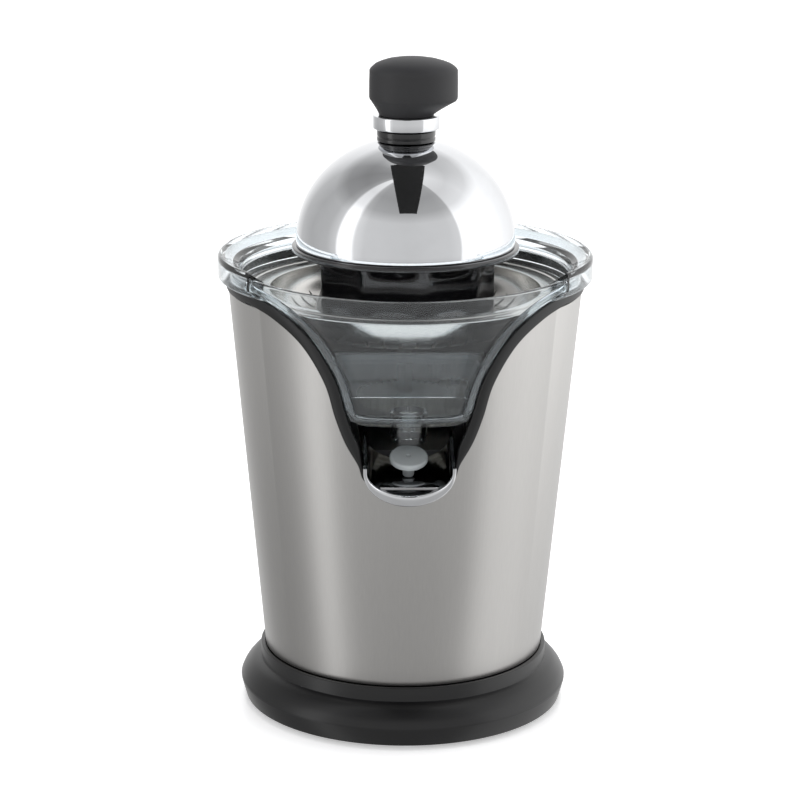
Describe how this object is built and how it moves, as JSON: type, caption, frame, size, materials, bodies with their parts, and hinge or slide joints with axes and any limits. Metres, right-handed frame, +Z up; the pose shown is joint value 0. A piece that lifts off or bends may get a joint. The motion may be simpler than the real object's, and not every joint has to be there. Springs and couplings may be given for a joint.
{
  "type": "citrus press juicer",
  "caption": "Electric citrus press with a tapered steel body, clear bowl with a front window and outlet, tilting drip-stop spout, ribbed reamer and a loose chrome dome press.",
  "frame": {"origin": "on the surface the feet stand on, under the middle of the rim", "axes": "+Z up through the reamer and press, -Y towards the spout, +X to the right of someone who faces the spout"},
  "size_m": [0.2, 0.1996, 0.3535],
  "materials": {
    "black_satin": "satin moulded",
    "black_gloss": "polished",
    "soft_grey": "soft-touch matt",
    "brushed_steel": "vertical brushed",
    "chrome": "mirror polished",
    "clear": "clear moulded plastic",
    "silicone": "matt silicone",
    "rubber": "matt",
    "laminations": "stacked sheet",
    "copper": "enamelled copper",
    "bronze": "sintered",
    "nylon": "natural nylon",
    "zinc": "zinc plated",
    "carbon": "pressed carbon"
  },
  "bodies": {
    "body": {"base_plate": "black_satin", "base_screw_1": "zinc", "base_screw_2": "zinc", "base_screw_3": "zinc", "base_screw_4": "zinc", "base_skirt": "black_satin", "brush_1": "carbon", "brush_2": "carbon", "cord_gland": "rubber", "field_coil_1": "copper", "field_coil_2": "copper", "foot_1": "rubber", "foot_2": "rubber", "foot_3": "rubber", "foot_4": "rubber", "gear_plate": "zinc", "inner_housing": "black_satin", "layshaft_pin": "zinc", "lower_bearing": "bronze", "micro_switch": "black_satin", "motor_lower_bracket": "zinc", "motor_screw_1": "zinc", "motor_screw_2": "zinc", "motor_stator": "laminations", "motor_top_bracket": "zinc", "output_bush": "bronze", "plate_screw_1": "zinc", "plate_screw_2": "zinc", "plate_screw_3": "zinc", "plate_screw_4": "zinc", "return_spring": "zinc", "shaft_seal": "rubber", "spout_pin": "zinc", "steel_shell": "brushed_steel", "trim_frame": "black_satin", "upper_bearing": "bronze"},
    "bowl": {"juice_bowl": "clear"},
    "strainer": {"strainer": "brushed_steel"},
    "reamer": {"reamer": "black_gloss"},
    "press": {"press_dome": "chrome", "press_cup": "black_satin", "press_flange": "black_gloss", "press_neck_ring": "black_gloss", "press_collar": "chrome", "press_knob": "soft_grey", "press_screw": "zinc"},
    "spout": {"spout_trough": "chrome", "spout_plug": "silicone"},
    "rotor": {"motor_shaft": "zinc", "armature": "laminations", "commutator": "copper", "cooling_fan": "nylon", "motor_pinion": "zinc"},
    "layshaft": {"layshaft_gear": "nylon"},
    "output": {"output_gear": "nylon"},
    "shaft": {"drive_shaft": "brushed_steel"},
    "button": {"switch_button": "nylon"}
  },
  "joints": [
    {"name": "bowl_lift", "type": "slide", "parent": "body", "child": "bowl", "axis": [0, 0, 1], "range_m": [0, 0.12]},
    {"name": "strainer_lift", "type": "slide", "parent": "bowl", "child": "strainer", "axis": [0, 0, 1], "range_m": [0, 0.08]},
    {"name": "press_lift", "type": "slide", "parent": "strainer", "child": "press", "axis": [0, 0, 1], "range_m": [0, 0.12]},
    {"name": "reamer_spin", "type": "hinge", "parent": "strainer", "child": "reamer", "pos_m": [0, 0, 0.23], "axis": [0, 0, 1], "continuous": true},
    {"name": "spout_tilt", "type": "hinge", "parent": "body", "child": "spout", "pos_m": [0, -0.06, 0.1455], "axis": [-1, 0, 0], "range_deg": [0, 20]},
    {"name": "motor_spin", "type": "hinge", "parent": "body", "child": "rotor", "pos_m": [0, 0.02681, 0.11], "axis": [0, 0, 1], "continuous": true},
    {"name": "layshaft_spin", "type": "hinge", "parent": "body", "child": "layshaft", "pos_m": [0.02806, 0.0162, 0.16], "axis": [0, 0, 1], "continuous": true},
    {"name": "output_spin", "type": "hinge", "parent": "body", "child": "output", "pos_m": [0, 0, 0.165], "axis": [0, 0, 1], "continuous": true},
    {"name": "shaft_press", "type": "slide", "parent": "output", "child": "shaft", "axis": [0, 0, -1], "range_m": [0, 0.0015], "stiffness_N_per_m": 600, "springref_m": -0.002, "deforming": ["return_spring"]},
    {"name": "switch_press", "type": "slide", "parent": "body", "child": "button", "axis": [0, 0, -1], "range_m": [0, 0.0015]}
  ],
  "couplings": [
    {"joint": "layshaft_spin", "follows": "motor_spin", "ratio": -0.25},
    {"joint": "output_spin", "follows": "motor_spin", "ratio": 0.083333},
    {"joint": "reamer_spin", "follows": "motor_spin", "ratio": 0.083333},
    {"joint": "switch_press", "follows": "shaft_press", "ratio": 1}
  ]
}
